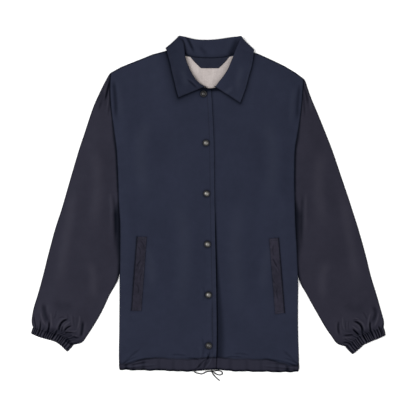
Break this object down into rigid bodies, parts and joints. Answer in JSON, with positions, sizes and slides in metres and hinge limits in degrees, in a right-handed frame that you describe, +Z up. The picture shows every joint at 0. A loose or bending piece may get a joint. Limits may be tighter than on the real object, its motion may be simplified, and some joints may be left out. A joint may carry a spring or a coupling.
{
  "type": "windbreaker",
  "caption": "Windbreaker laid flat on its back: lined nylon shell with fold-over collar, snap placket, slanted welt pockets, elastic cuffs and a drawcord hem.",
  "frame": {"origin": "centre of the garment's outline without its drawcord, on the surface that it lies on", "axes": "+X from the wearer's right sleeve to the left sleeve, +Y from the hem to the collar, +Z up from the surface"},
  "size_m": [0.8138, 0.7917, 0.0185],
  "materials": {
    "shell": "navy nylon with a faint sheen",
    "sleeve_shell": "navy nylon with a faint sheen",
    "lining": "pale warm grey jersey lining",
    "facing": "navy nylon, matt",
    "snap_metal": "dark gunmetal, satin",
    "drawcord": "black braided cord"
  },
  "bodies": {
    "root": {"back_panel": "shell", "front_right": "shell", "front_left": "shell", "collar": "shell", "sleeve_right": "sleeve_shell", "sleeve_left": "sleeve_shell", "cuff_right": "sleeve_shell", "cuff_left": "sleeve_shell", "pocket_welt_right": "sleeve_shell", "pocket_welt_left": "sleeve_shell", "back_lining": "lining", "neck_facing": "facing", "snap_cap_1": "snap_metal", "snap_cap_2": "snap_metal", "snap_cap_3": "snap_metal", "snap_cap_4": "snap_metal", "snap_cap_5": "snap_metal", "snap_cap_6": "snap_metal", "drawcord_run": "drawcord", "drawcord_loop": "drawcord", "drawcord_tail": "drawcord", "drawcord_knot": "drawcord"}
  },
  "joints": []
}
